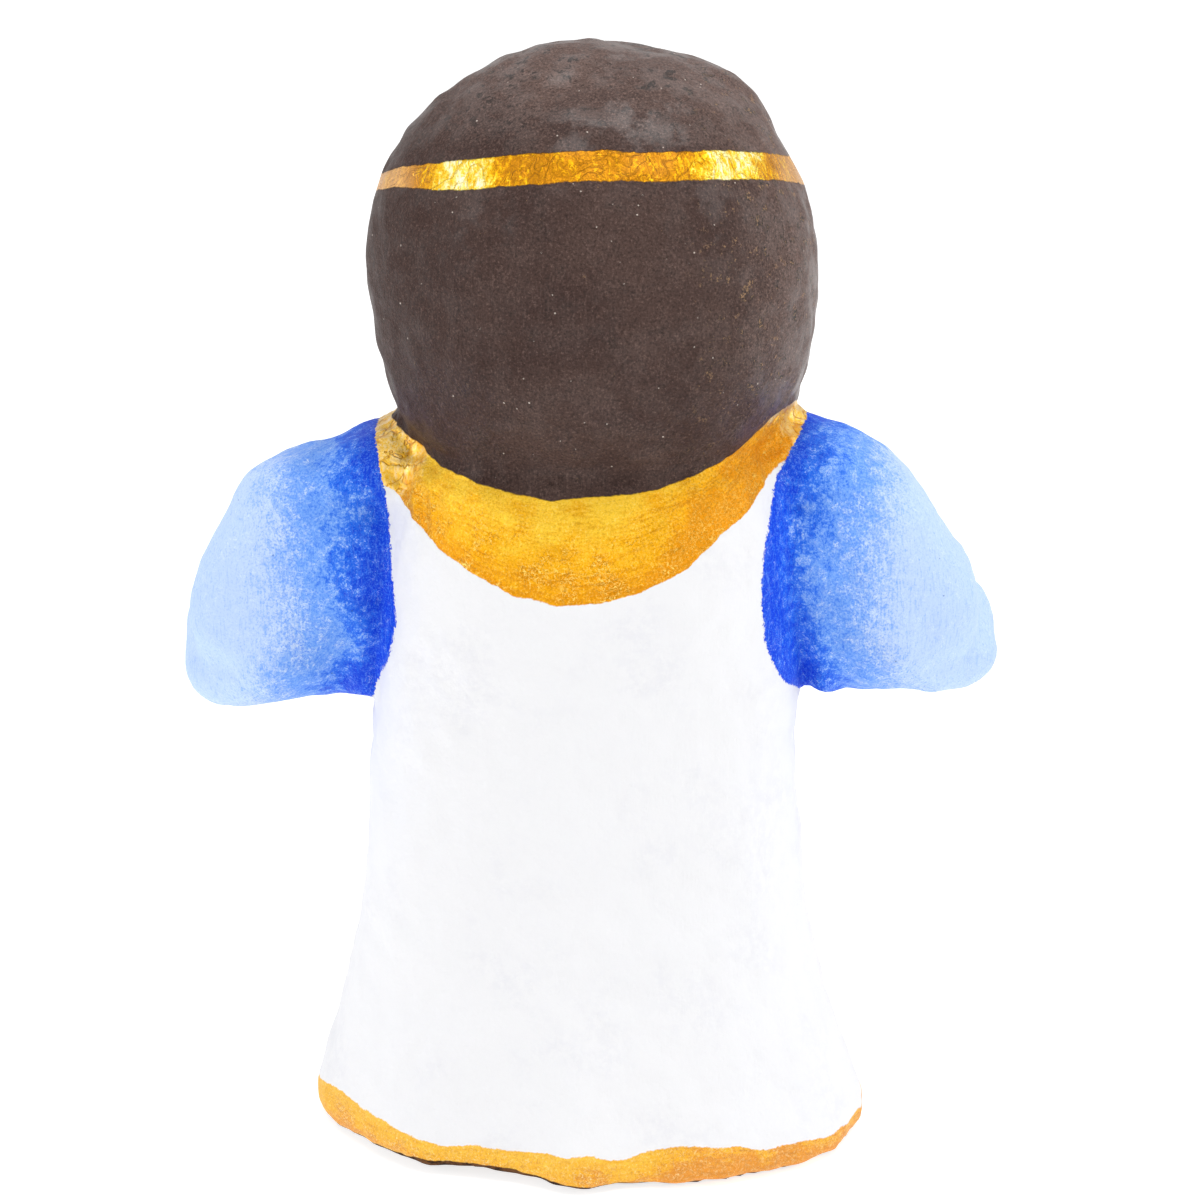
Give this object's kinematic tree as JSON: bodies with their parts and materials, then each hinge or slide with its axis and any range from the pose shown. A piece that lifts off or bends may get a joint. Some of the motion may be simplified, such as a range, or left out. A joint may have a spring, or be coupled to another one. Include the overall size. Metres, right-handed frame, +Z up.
{
  "type": "papier-mache figure",
  "caption": "Painted papier-mache figure of a round-headed attendant in a long robe with wide sleeves and hands held together, standing on its hem.",
  "frame": {"origin": "middle of the robe on the flat underside that the figure stands on", "axes": "+Z up from the hem to the crown; the figure faces -Y with its back towards +Y, and its own left arm is on the +X side"},
  "size_m": [0.1772, 0.1055, 0.2382],
  "materials": {
    "painted_papier_mache": "painted"
  },
  "bodies": {
    "root": {"figure": "painted_papier_mache"}
  },
  "joints": []
}
